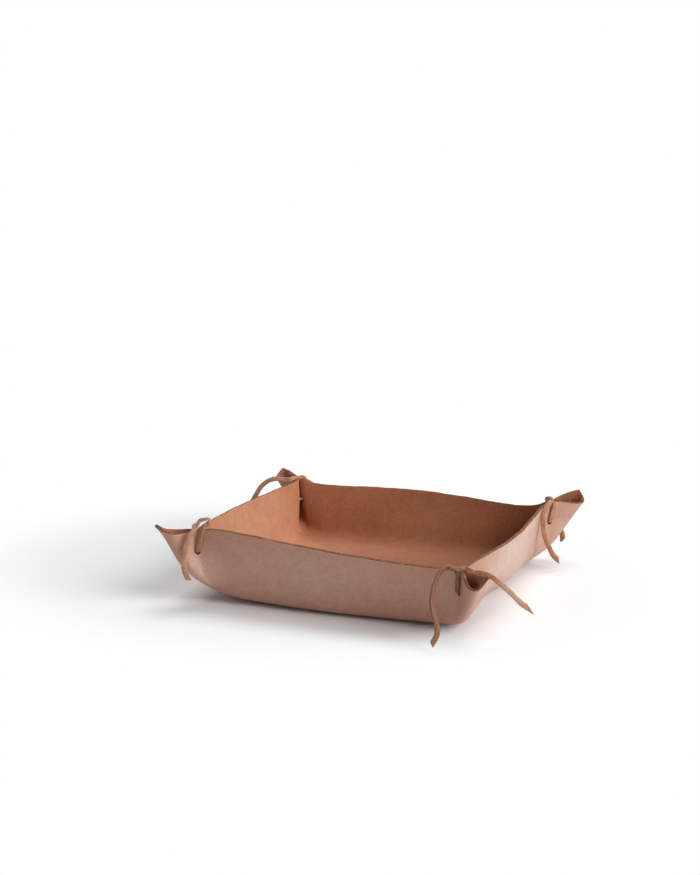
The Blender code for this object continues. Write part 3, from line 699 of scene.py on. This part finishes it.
def half_knot(name, side, top):
    """One strand's way through the knot, from its own side below to the other side above."""
    ear, across, up = tie_axes(name)
    middle = tie_point(name, 0) * np.array([1, 1, 0]) + up * (top + KNOT_RISE)
    middle = middle + np.array(KNOT_PLACES[name]) @ np.array([ear, across, up])
    half_turns = KNOT_HALF_TURNS[name]
    count = round(4 * half_turns)
    points, faces = [], []
    for i in range(1, count + 1):
        angle = math.pi * (half_turns * i / count - 1 / 2)
        out = ear * math.cos(angle) * KNOT_WINDING[name] * -side + up * math.sin(angle)
        along = across * side * KNOT_HALVES[name] * (1 - 2 * i / count)
        points.append(middle + along + out * KNOT_RADIUS)
        faces.append(-out)
    return points, faces


def side_run(name, side, tree, top):
    """A lace from the middle of its holes up one wall and through the knot."""
    up = tie_axes(name)[2]
    plus, minus = hole_mouths(name)
    hole = (plus + minus) / 2
    outward = (plus - minus) * side / np.linalg.norm(plus - minus)
    free_drop = HOLE_DROPS[name] - LACE_BEND
    reach = (strand_seat(name, side, free_drop, tree)[0] - hole) @ outward
    points, faces = [hole], [-up]
    for turn in (0, math.pi / 4):
        out = reach - LACE_BEND + LACE_BEND * math.sin(turn)
        points.append(hole + outward * out + up * LACE_BEND * (1 - math.cos(turn)))
        faces.append(outward * math.sin(turn) - up * math.cos(turn))
    steps = int(free_drop / FREE_STEP)
    for i in range(steps + 1):
        seat, face = strand_seat(name, side, free_drop * (1 - i / (steps + 1)), tree)
        points.append(seat)
        faces.append(face)
    axes = np.array(tie_axes(name))
    slack = zip(SLACK_SHARES.get((name, side), ()), SLACK_FACES.get((name, side), ()))
    for share, face in slack:
        points.append(tie_point(name, 0) + WALL_HEIGHT * np.array(share) @ axes)
        faces.append(unit(np.array(face) @ axes))
    knot_points, knot_faces = half_knot(name, side, top)
    return points + knot_points, faces + knot_faces, len(points)


def tail_run(name, side):
    """A lace's free tail on one side, from the knot to its end."""
    axes = np.array(tie_axes(name))
    shares = TAIL_SHARES[name]
    key = "plus" if side > 0 else "minus"
    ways = np.array(shares[key + "_faces"]) @ axes
    first, last = ways[0], ways[-1]
    rows = np.array(shares[key])
    points = tie_point(name, 0) + WALL_HEIGHT * rows @ axes
    faces = [first + (last - first) * i / (len(rows) - 1) for i in range(len(rows))]
    return list(points), faces


def smooth_line(points, per_span):
    """A Catmull-Rom line through all the points, in this many steps from each to the next."""
    padded = np.vstack([2 * points[0] - points[1], points, 2 * points[-1] - points[-2]])
    before, here, ahead, beyond = padded[:-3], padded[1:-2], padded[2:-1], padded[3:]
    rows = []
    for i in range(per_span):
        t = i / per_span
        rows.append((2 * here + (ahead - before) * t
                     + (2 * before - 5 * here + 4 * ahead - beyond) * t ** 2
                     + (3 * here - 3 * ahead + beyond - before) * t ** 3) / 2)
    line = np.array(rows).transpose(1, 0, 2).reshape(-1, points.shape[1])
    return np.vstack([line, points[-1]])


def face_one_way(faces):
    """Turn every direction that looks against the one before it round, in place."""
    for i in range(1, len(faces)):
        if faces[i] @ faces[i - 1] < 0:
            faces[i] *= -1


def lace_route(name, tree):
    """The lace's whole run: its length so far, a row for each step and the knot's two ends.

    A row holds the middle, the flat side's direction and the drawn share.
    """
    top = rim_top(name, tree)
    halves = []
    for side in (-1, 1):
        run, run_faces, knot_start = side_run(name, side, tree, top)
        tail, tail_faces = tail_run(name, -side)
        slack = len(SLACK_SHARES.get((name, side), ()))
        seats = knot_start - len(HOLE_DRAWN) - slack - 1
        wound = len(run) - len(HOLE_DRAWN) - seats
        drawn = [*HOLE_DRAWN] + [0] * seats + [1] * wound + [0] * len(tail)
        flats = np.array(run_faces + tail_faces)
        halves.append(np.column_stack([np.array(run + tail), flats, drawn]))
    controls = np.vstack([halves[0][::-1], halves[1][1:]])
    face_one_way(controls[:, 3:6])
    fine = smooth_line(controls, SPAN_STEPS)
    length = np.concatenate([[0], np.cumsum(np.linalg.norm(np.diff(fine[:, :3], axis=0), axis=1))])
    first = length[len(TAIL_SHARES[name]["plus"]) * SPAN_STEPS]
    last = length[len(fine) - 1 - len(TAIL_SHARES[name]["minus"]) * SPAN_STEPS]
    return length, fine, first, last


def lace_tube(length, fine, start, end, slant, point, flare):
    """A rounded flat strip from start to end: S(s, a) = C(s) + w cos(a)^k W + h sin(a)^k F.

    C is the route's middle, W across the flat, F out of it and k = STRIP_POWER. The far end
    is cut at a slant, or to a point, by drawing each line along the strip to its own stop.
    """
    count = max(8, math.ceil((end - start) / LACE_STEP))
    turns = (np.arange(LACE_POINTS) + 0.5) / LACE_POINTS
    wide, high = powered(2 * np.pi * turns, STRIP_POWER)
    share = np.arange(count + 1) / count
    cut = abs(slant) * (1 + np.sign(slant) * wide) / 2 + point * np.abs(wide)
    reach = (end - start) - cut
    stops = start + share[:, None] * reach[None, :]
    ahead = unit(np.gradient(fine[:, :3], axis=0))
    flat = unit(fine[:, 3:6] - (fine[:, 3:6] * ahead).sum(axis=1)[:, None] * ahead)
    middle, ahead, flat = (
        np.stack([np.interp(stops, length, values[:, i]) for i in range(3)], axis=-1)
        for values in (fine[:, :3], ahead, flat)
    )
    flat = unit(flat)
    across = np.cross(unit(ahead), flat)
    drawn = np.interp(stops, length, fine[:, 6])
    half_width = (LACE_WIDTH + (KNOT_WIDTH - LACE_WIDTH) * drawn) / 2
    half_width = half_width * (1 + flare * np.exp(-((end - stops) / FLARE_REACH) ** 2))
    half_depth = (LACE_THICKNESS + (KNOT_THICKNESS - LACE_THICKNESS) * drawn) / 2
    waver = 1 + sum(part * np.sin(stops / run + begin) for part, run, begin in STRIP_WAVERS)
    rings = (middle + across * (half_width * wide * waver)[..., None]
             + flat * (half_depth * high)[..., None])
    uv = np.stack([stops, np.broadcast_to(turns, stops.shape)], axis=-1)
    return rings, uv, middle.mean(axis=1)


def lace_mesh(name, tube, materials):
    """The strip's rings as a closed mesh, its ends closed by a fan round a middle point."""
    rings, uv = tube[:2]
    count, points_round = rings.shape[:2]
    ends = np.stack([rings[0].mean(axis=0), rings[-1].mean(axis=0)])
    points = np.concatenate([rings.reshape(-1, 3), ends])
    number = np.arange(count * points_round).reshape(count, points_round)
    faces = []
    for row in range(count - 1):
        faces += quads(number[row], number[row + 1]).tolist()
    kinds = [0] * len(faces)
    faces += fan(len(points) - 2, number[0], True) + fan(len(points) - 1, number[-1], False)
    kinds += [1] * (2 * points_round)
    uv = np.concatenate([uv.reshape(-1, 2), uv[0, :1], uv[-1, :1]])
    return new_mesh_object(name, points, faces, kinds, uv, materials)


def build_laces(tree, materials):
    """Each lace in three lengths of one strip: the knot with what holds the corner, two tails."""
    for name in CORNERS:
        length, fine, first, last = lace_route(name, tree)
        total = length[-1]
        first = max(first, MIN_TAIL)
        last = min(last, total - MIN_TAIL)
        lace = "lace_" + name
        tube = lace_tube(length, fine, first, last, 0, 0, 0)
        knot = lace_mesh(lace + "_knot", tube, materials)
        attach(knot, "root")
        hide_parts(lace)
        backwards = (total - length)[::-1], fine[::-1], total - first, total
        forwards = length, fine, last, total
        for key, run in (("plus", backwards), ("minus", forwards)):
            tube = lace_tube(*run, *TAIL_ENDS[name][key])
            tail = lace_mesh(f"{lace}_tail_{key}", tube, materials)
            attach(tail, "root")
            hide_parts(lace)


# ==== leather ====

def fill(tree, made, inputs):
    """Each of these inputs of a node tied to a socket, or set to a plain value."""
    for key, value in inputs.items():
        if isinstance(value, bpy.types.NodeSocket):
            tree.links.new(value, made.inputs[key])
        else:
            made.inputs[key].default_value = value


def node(tree, kind, inputs=None, **settings):
    """A shader node with its plain settings and its inputs filled."""
    made = tree.nodes.new(kind)
    for key, value in settings.items():
        setattr(made, key, value)
    fill(tree, made, inputs or {})
    return made


def new_material(name):
    """A material with its Principled shader."""
    material = bpy.data.materials.new(name)
    material.use_nodes = True
    return material, material.node_tree, material.node_tree.nodes["Principled BSDF"]


def mix_colour(tree, factor, first, second):
    """A colour from first to second by a factor; each colour is a socket or a plain tone."""
    tones = [tone if isinstance(tone, bpy.types.NodeSocket) else (*tone, 1)
             for tone in (first, second)]
    inputs = {0: factor, 6: tones[0], 7: tones[1]}
    return node(tree, "ShaderNodeMix", inputs, data_type="RGBA").outputs[2]


def calc(tree, operation, *values):
    """One step of arithmetic on sockets and plain numbers."""
    return node(tree, "ShaderNodeMath", dict(enumerate(values)), operation=operation).outputs[0]


def spread(tree, value, low, high, at_low, at_high):
    """A value stretched from one range to another, held at its ends, with a soft start and stop."""
    inputs = dict(enumerate((value, low, high, at_low, at_high)))
    made = node(tree, "ShaderNodeMapRange", inputs, interpolation_type="SMOOTHSTEP")
    return made.outputs[0]


def noise(tree, place, scale, detail, rough, warp=0.0):
    """Noise at this many lumps a metre."""
    return node(tree, "ShaderNodeTexNoise", {
        "Vector": place, "Scale": scale, "Detail": detail, "Roughness": rough, "Distortion": warp,
    }).outputs["Fac"]


# Lumps a metre, detail, roughness and warp of each pattern that the colours use
PATTERNS = {
    "Cloud": (16, 3, 0.55, 0.4), "Mottle": (170, 4, 0.65, 0.8), "Speck": (900, 3, 0.75),
    "Pore": (1050, 1, 0.5),
}
# The height that the light feels: cells a metre and where they fall off, two noises, and how
# much each gives
PEBBLES = 1300
PEBBLE_RANGE = (0.05, 0.75)
HEIGHT_NOISES = {"fine": (2600, 2, 0.6), "folds": (420, 3, 0.6, 0.6)}
HEIGHT_SHARES = {"pebble": 0.55, "fine": 0.35, "folds": 0.6}


def hide_group():
    """The pattern of hide that every leather here shares: grain cells, pores, clouds and specks.

    Place is where it is looked up and Size how many times finer it is drawn. It puts out
    Height for the bump, Cloud for slow colour changes, Mottle for patches of a few
    millimetres, Speck for fine flecks and Pore for sparse dark dots.
    """
    group = bpy.data.node_groups.new("hide_pattern", "ShaderNodeTree")
    group.interface.new_socket("Place", in_out="INPUT", socket_type="NodeSocketVector")
    size = group.interface.new_socket("Size", in_out="INPUT", socket_type="NodeSocketFloat")
    size.default_value = 1
    for name in ("Height", *PATTERNS):
        group.interface.new_socket(name, in_out="OUTPUT", socket_type="NodeSocketFloat")
    inside = node(group, "NodeGroupInput").outputs
    outside = node(group, "NodeGroupOutput")
    at = node(group, "ShaderNodeVectorMath", {0: inside["Place"], "Scale": inside["Size"]},
              operation="SCALE").outputs[0]
    cells = node(group, "ShaderNodeTexVoronoi", {"Vector": at, "Scale": PEBBLES, "Randomness": 1},
                 feature="F1")
    parts = {name: noise(group, at, *settings) for name, settings in HEIGHT_NOISES.items()}
    parts["pebble"] = spread(group, cells.outputs["Distance"], *PEBBLE_RANGE, 1.0, 0.0)
    height = 0
    for name, share in HEIGHT_SHARES.items():
        height = calc(group, "ADD", height, calc(group, "MULTIPLY", parts[name], share))
    patterns = {name: noise(group, at, *settings) for name, settings in PATTERNS.items()}
    fill(group, outside, {"Height": height, **patterns})
    return group


def leather(name, group):
    """A leather as LEATHERS has it: its paint on the hide pattern, whose height the light feels."""
    size, paint, strength, depth, settings = LEATHERS[name]
    material, tree, shader = new_material(name)
    place = node(tree, "ShaderNodeTexCoord").outputs["Object"]
    hide = node(tree, "ShaderNodeGroup", {"Size": size, "Place": place}, node_tree=group).outputs
    relief = {"Strength": strength, "Distance": depth, "Height": hide["Height"]}
    normal = node(tree, "ShaderNodeBump", relief).outputs[0]
    fill(tree, shader, {"Base Color": paint(tree, place, hide), "Normal": normal, **settings})
    return material


def own_v(tree):
    """The piece's own v: on the sheet the way below the rim, on a lace the share round it."""
    uv = node(tree, "ShaderNodeUVMap", uv_map="along").outputs[0]
    return node(tree, "ShaderNodeSeparateXYZ", {0: uv}).outputs[1]


def patch(tree, place, middle, size, inner):
    """1 at a place on the hide, falling softly to 0 at an oval of these half lengths round it."""
    inputs = {0: place, "Location": middle, "Scale": size}
    oval = node(tree, "ShaderNodeMapping", inputs, vector_type="TEXTURE").outputs[0]
    far = node(tree, "ShaderNodeVectorMath", {0: oval}, operation="LENGTH").outputs["Value"]
    return spread(tree, far, inner, 1.0, 1.0, 0.0)


def lay_patches(tree, place, colour, patches):
    """The colour with each soft oval of another tone laid on it in turn."""
    for middle, size, inner, strength, tone in patches.values():
        share = calc(tree, "MULTIPLY", patch(tree, place, middle, size, inner), strength)
        colour = mix_colour(tree, share, colour, tone)
    return colour


def lay_patterns(tree, hide, colour, patterns):
    """The colour with the hide's own patterns laid on it in turn.

    Each is a pattern, its range, how strong it is at either end of that, and a tone.
    """
    for name, low, high, at_low, at_high, tone in patterns:
        share = spread(tree, hide[name], low, high, at_low, at_high)
        colour = mix_colour(tree, share, colour, tone)
    return colour


GRAIN = {
    "painted_bounce": (0.60, 0.310, 0.200), "deep": (0.36, 0.180, 0.120), "main": (0.46, 0.240, 0.170),
    "tan": (0.45, 0.215, 0.135), "bloom": (0.49, 0.285, 0.222), "painted_sheen": (0.65, 0.485, 0.405),
    "pale": (0.60, 0.385, 0.300),
}
FLESH = {
    "deep": (0.36, 0.130, 0.058), "main": (0.49, 0.205, 0.105), "pale": (0.52, 0.27, 0.155),
    "dark": (0.25, 0.068, 0.028),
}
EDGE = {"deep": (0.11, 0.042, 0.022), "main": (0.24, 0.100, 0.050), "pale": (0.44, 0.22, 0.12)}
LACE = {
    "dark": (0.17, 0.064, 0.028), "deep": (0.30, 0.120, 0.055), "main": (0.44, 0.205, 0.110),
    "pale": (0.62, 0.37, 0.25),
}

# Soft ovals of another tone, some the hide's own and some painted light and shade: the middle,
# the half lengths, the share of them that is full, how strong it is there, and the tone
GRAIN_TONES_AND_PAINTED_LIGHT = {
    "front": ((-0.01, -0.09, 0.024), (0.085, 0.04, 0.03), 0, 1, GRAIN["bloom"]),
    # painted highlight: the right wall, which faces the right lamp, made paler as if lit
    "right": ((0.12, 0.01, 0.02), (0.05, 0.12, 0.07), 0.5, 1, GRAIN["painted_sheen"]),
    # painted shade: the back left ear darkened low down
    "back_left": ((-0.10, 0.098, 0.032), (0.02, 0.02, 0.02), 0.5, 0.6, EDGE["main"]),
    # painted highlight on the front left ear near its foot, below the tie
    "front_left": ((-0.085, -0.085, 0.022), (0.022, 0.03, 0.022), 0, 0.8, GRAIN["pale"]),
    "front_foot": ((0.05, -0.09, 0), (0.13, 0.05, 0.022), 0, 0.7, GRAIN["tan"]),
    "back_right": ((0.102, 0.097, 0.040), (0.018, 0.025, 0.03), 0.3, 0.5, GRAIN["tan"]),
    # painted light: the front right corner made warmer and paler, as light bounced off the floor
    # would
    "front_right": ((0.065, -0.11, 0.012), (0.075, 0.04, 0.045), 0.3, 0.3, GRAIN["painted_bounce"]),
}
FLESH_PAINTED_LIGHT_AND_SHADE = {
    # painted light: the left wall's inside, which the right lamp lights, made paler
    "left": ((-0.10, 0.0, 0.03), (0.05, 0.10, 0.05), 0.3, 0.7, FLESH["pale"]),
    # painted shade: the back wall darker towards its right end, where the right wall shades it
    "back": ((0.08, 0.105, 0.05), (0.14, 0.05, 0.055), 0.2, 0.8, FLESH["dark"]),
    # painted shade on the floor towards the back right
    "floor": ((0.06, 0.04, 0.0), (0.12, 0.08, 0.020), 0.4, 0.6, FLESH["dark"]),
    # painted shade on the floor towards the front right
    "front": ((0.06, -0.07, 0.0), (0.11, 0.06, 0.03), 0.3, 0.4, FLESH["dark"]),
    # painted light: the inside of the back left ear made paler
    "back_left": ((-0.098, 0.098, 0.046), (0.018, 0.018, 0.014), 0.3, 0.9, FLESH["pale"]),
    # painted shade: the inside of the front right ear darkened
    "front_right": ((0.105, -0.115, 0.035), (0.022, 0.028, 0.03), 0.4, 0.9, FLESH["dark"]),
}
# Painted shade over the front right knot and a darker patch on the front left loop, how strongly
# each darkens the lace, and how pale a lace's cut edges and how tan the rim of the grain are
KNOT_SHADE = ((0.079, -0.105, 0.028), (0.026, 0.03, 0.04), 0.6)
DARK_LOOP = ((-0.089, -0.083, 0.036), (0.010, 0.010, 0.014), 0.3)
KNOT_SHADE_STRENGTH = 0.95
LOOP_DARKNESS = 0.4
LACE_EDGE = 0.45
RIM_TAN = 0.35
LACE_PATCHES = {
    "front_right": ((0.117, -0.087, 0.026), (0.02, 0.02, 0.018), 0.4, 0.55, LACE["pale"]),
}


def paint_grain(tree, place, hide):
    """The smooth outer face: rose brown, tan where handled, with a pale bloom, specks, painted
    highlights and painted shade.
    """
    colour = lay_patterns(tree, hide, GRAIN["tan"], [("Cloud", 0.3, 0.7, 0, 1, GRAIN["main"])])
    colour = lay_patches(tree, place, colour, GRAIN_TONES_AND_PAINTED_LIGHT)
    colour = lay_patterns(tree, hide, colour, [
        ("Mottle", 0.34, 0.66, 0.34, 0, GRAIN["deep"]), ("Speck", 0.45, 0.7, 0, 0.3, GRAIN["pale"]),
        ("Pore", 0.64, 0.74, 0, 0.4, EDGE["main"]),
    ])
    near_rim = spread(tree, own_v(tree), 0, RIM_BAND * RIM_SCALE, RIM_TAN, 0)
    return mix_colour(tree, near_rim, colour, FLESH["main"])


def paint_flesh(tree, place, hide):
    """The inner face: orange tan, matt, with short fibres, darker mottling and painted light and
    shade in soft ovals.
    """
    colour = lay_patterns(tree, hide, FLESH["deep"], [("Cloud", 0.3, 0.7, 0.25, 1, FLESH["main"])])
    colour = lay_patches(tree, place, colour, FLESH_PAINTED_LIGHT_AND_SHADE)
    return lay_patterns(tree, hide, colour, [
        ("Mottle", 0.36, 0.66, 0.22, 0, FLESH["dark"]),
        ("Speck", 0.46, 0.7, 0, 0.36, FLESH["pale"]),
    ])


def paint_edge(tree, place, hide):
    """The cut edge: dark where it was burnished, with pale torn fibres between."""
    return lay_patterns(tree, hide, EDGE["deep"], [
        ("Speck", 0.40, 0.58, 0, 1, EDGE["main"]), ("Mottle", 0.50, 0.72, 0, 0.6, EDGE["pale"]),
    ])


def paint_lace(tree, place, hide):
    """The laces: tan, with paler cut edges, darker patches, pale scuffs across them and painted
    shade over the front right knot.
    """
    colour = lay_patterns(tree, hide, LACE["deep"], [
        ("Mottle", 0.32, 0.66, 0, 1, LACE["main"]), ("Speck", 0.46, 0.70, 0, 0.35, LACE["pale"]),
    ])
    around = calc(tree, "MULTIPLY", own_v(tree), 2 * math.pi)
    edge = spread(tree, calc(tree, "ABSOLUTE", calc(tree, "SINE", around)), 0.25, 0.62, 1, 0)
    colour = mix_colour(tree, calc(tree, "MULTIPLY", edge, LACE_EDGE), colour, LACE["pale"])
    # painted shade over the front right knot, with the front left loop a little darker too
    loop = calc(tree, "MULTIPLY", patch(tree, place, *DARK_LOOP), LOOP_DARKNESS)
    darkened = calc(tree, "MAXIMUM", patch(tree, place, *KNOT_SHADE), loop)
    colour = mix_colour(tree, calc(tree, "MULTIPLY", darkened, KNOT_SHADE_STRENGTH), colour, LACE["dark"])
    return lay_patches(tree, place, colour, LACE_PATCHES)


SHEET_LEATHERS = ("grain_leather", "flesh_leather", "raw_edge")
# Each leather: how much finer its pattern is drawn, its paint, how strongly and how deeply its
# height is felt, and its plain settings
LEATHERS = {
    "grain_leather": (1.0, paint_grain, 0.35, 0.18 * MM, {
        "Roughness": 0.55, "Specular IOR Level": 0.4, "Sheen Weight": 0.12,
        "Sheen Roughness": 0.45, "Sheen Tint": (1, 0.9, 0.86, 1),
    }),
    "flesh_leather": (0.8, paint_flesh, 0.4, 0.25 * MM, {
        "Roughness": 0.85, "Specular IOR Level": 0.2, "Sheen Weight": 0.05, "Sheen Roughness": 0.6,
    }),
    "raw_edge": (1.0, paint_edge, 0.8, 0.4 * MM, {"Roughness": 0.8, "Specular IOR Level": 0.25}),
    "lace_leather": (1.2, paint_lace, 0.7, 0.3 * MM, {
        "Roughness": 0.55, "Specular IOR Level": 0.45, "Sheen Weight": 0.1,
        "Sheen Tint": (1, 0.88, 0.82, 1),
    }),
}


# ==== floor, light and air ====

def seen_white(tree, surface, mask=None):
    """Plain white where the eye or a reflection looks, all over or by a mask, else the surface."""
    path = node(tree, "ShaderNodeLightPath").outputs
    seen = calc(tree, "MAXIMUM", path["Is Camera Ray"], path["Is Glossy Ray"])
    seen = calc(tree, "MAXIMUM", seen, path["Is Transmission Ray"])
    if mask is not None:
        seen = calc(tree, "MULTIPLY", seen, mask)
    kind = "ShaderNodeBackground" if mask is None else "ShaderNodeEmission"
    white = node(tree, kind, {"Color": WHITE, "Strength": 1}).outputs[0]
    return node(tree, "ShaderNodeMixShader", {0: seen, 1: surface, 2: white}).outputs[0]


WHITE = (1, 1, 1, 1)
FLOOR_HALF = 40
FLOOR_TONE = (0.885, 0.90, 0.906)
# The floor shows its shadow inside this oval: the middle, the half lengths and the full share
FLOOR_OVAL = ((-0.06, 0.0, 0), (0.24, 0.19, 1), 0.62)
AIR_LEVEL = 0.10
# Each lamp: degrees round from the back to the right, degrees up, level and breadth in degrees.
# Level is what a white face that looks at the lamp shows, and the floor comes to 1
LAMPS = {
    "right": (100, 30, 0.89, 45), "back": (0, 60, 0.50, 32), "left": (-85, 12, 0.10, 45),
    "front": (160, 10, 0.07, 45),
}


def build_floor():
    """A wide white floor: it takes the tray's shadow near it and is plain white further off."""
    corners = ((-1, -1, 0), (1, -1, 0), (1, 1, 0), (-1, 1, 0))
    points = FLOOR_HALF * np.array(corners, dtype=float)
    material, tree, shader = new_material("white_floor")
    fill(tree, shader, {
        "Roughness": 1, "Specular IOR Level": 0, "Base Color": (*FLOOR_TONE, 1),
    })
    place = node(tree, "ShaderNodeTexCoord").outputs["Object"]
    away = calc(tree, "SUBTRACT", 1, patch(tree, place, *FLOOR_OVAL))
    surface = seen_white(tree, shader.outputs[0], away)
    fill(tree, tree.nodes["Material Output"], {"Surface": surface})
    floor = new_mesh_object("floor", points, [(0, 1, 2, 3)], [0], points[:, :2], [material])


def light_scene():
    """Broad soft lights from the right and from behind, low weak ones from left and front."""
    world = bpy.data.worlds.new("air")
    bpy.context.scene.world = world
    world.use_nodes = True
    tree = world.node_tree
    air = tree.nodes["Background"]
    fill(tree, air, {"Color": WHITE, "Strength": AIR_LEVEL})
    fill(tree, tree.nodes["World Output"], {"Surface": seen_white(tree, air.outputs[0])})
    for name, (azimuth, elevation, level, angle) in LAMPS.items():
        data = bpy.data.lights.new(name, "SUN")
        data.energy = level * math.pi
        data.angle = math.radians(angle)
        lamp = bpy.data.objects.new(name, data)
        towards = direction(math.radians(azimuth), math.radians(elevation))
        lamp.rotation_euler = towards.to_track_quat("Z", "Y").to_euler()
        bpy.context.scene.collection.objects.link(lamp)


def main():
    """Camera, hide and laces first, then the holes through the hide, the floor and the light."""
    place_camera()
    group = hide_group()
    sheet = build_sheet([leather(name, group) for name in SHEET_LEATHERS])
    bpy.context.view_layer.update()
    tree = BVHTree.FromObject(sheet, bpy.context.evaluated_depsgraph_get())
    build_laces(tree, [leather("lace_leather", group), bpy.data.materials["raw_edge"]])
    punch_holes(sheet)
    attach(sheet, "root")
    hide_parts("tray_sheet")
    build_floor()
    light_scene()
    scene = bpy.context.scene
    scene.view_settings.view_transform = "Standard"


main()
